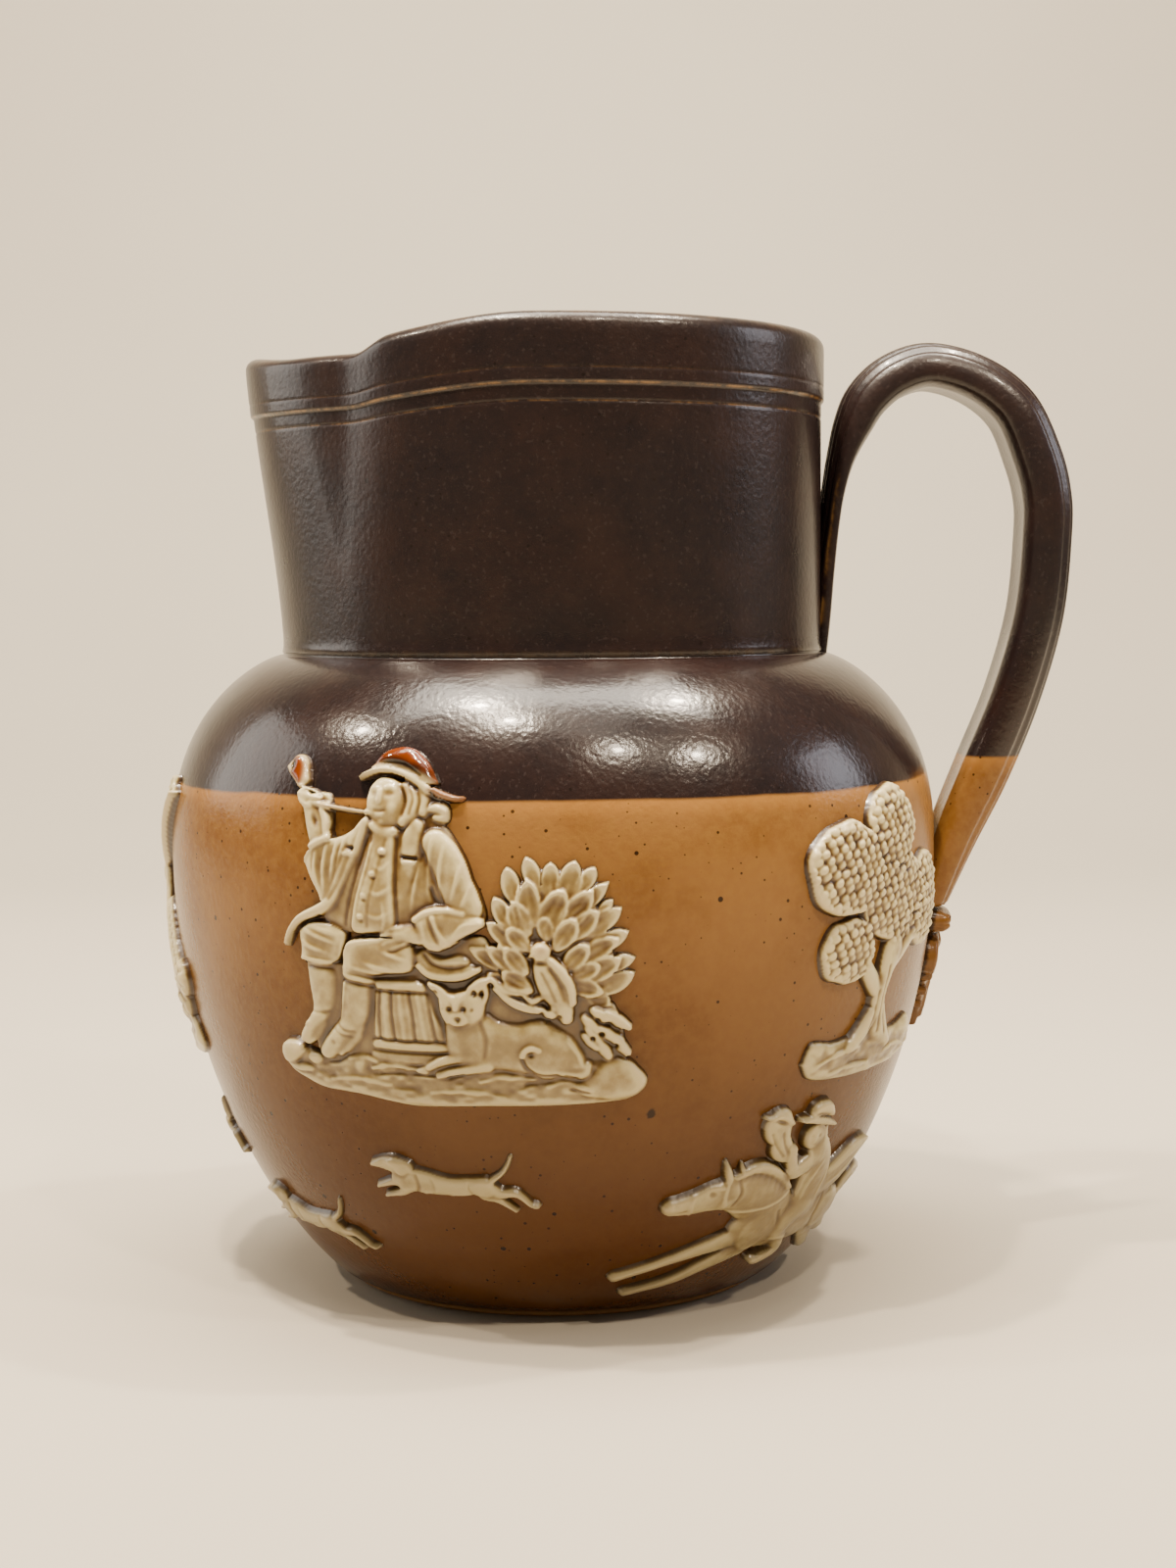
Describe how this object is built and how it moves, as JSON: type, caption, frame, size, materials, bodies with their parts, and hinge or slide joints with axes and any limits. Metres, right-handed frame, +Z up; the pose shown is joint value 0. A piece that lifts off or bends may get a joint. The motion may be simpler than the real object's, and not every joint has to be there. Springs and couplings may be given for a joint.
{
  "type": "stoneware jug",
  "caption": "Round-bellied salt-glazed stoneware jug with a straight neck, pulled lip, reeded strap handle and applied relief figures.",
  "frame": {"origin": "centre of the flat underside of the foot", "axes": "+Z up along the body's axis, +X towards the handle, -X towards the lip"},
  "size_m": [0.1681, 0.1442, 0.17],
  "materials": {
    "salt_glazed_body": "glossy salt glaze, dark brown dip on the upper part, tan below",
    "brown_glazed_handle": "glossy dark brown dip, tan at its lowest part",
    "sprig_clay": "buff clay under a thin clear salt glaze, darker in the hollows"
  },
  "bodies": {
    "root": {"jug_body": "salt_glazed_body", "handle": "brown_glazed_handle", "toper_group_front": "sprig_clay", "toper_group_back": "sprig_clay", "tree_front": "sprig_clay", "tree_back": "sprig_clay", "windmill": "sprig_clay", "huntsman_front": "sprig_clay", "huntsman_back": "sprig_clay", "hound_1": "sprig_clay", "hound_2": "sprig_clay", "hound_3": "sprig_clay", "hound_4": "sprig_clay", "hound_5": "sprig_clay", "handle_terminal": "sprig_clay"}
  },
  "joints": []
}
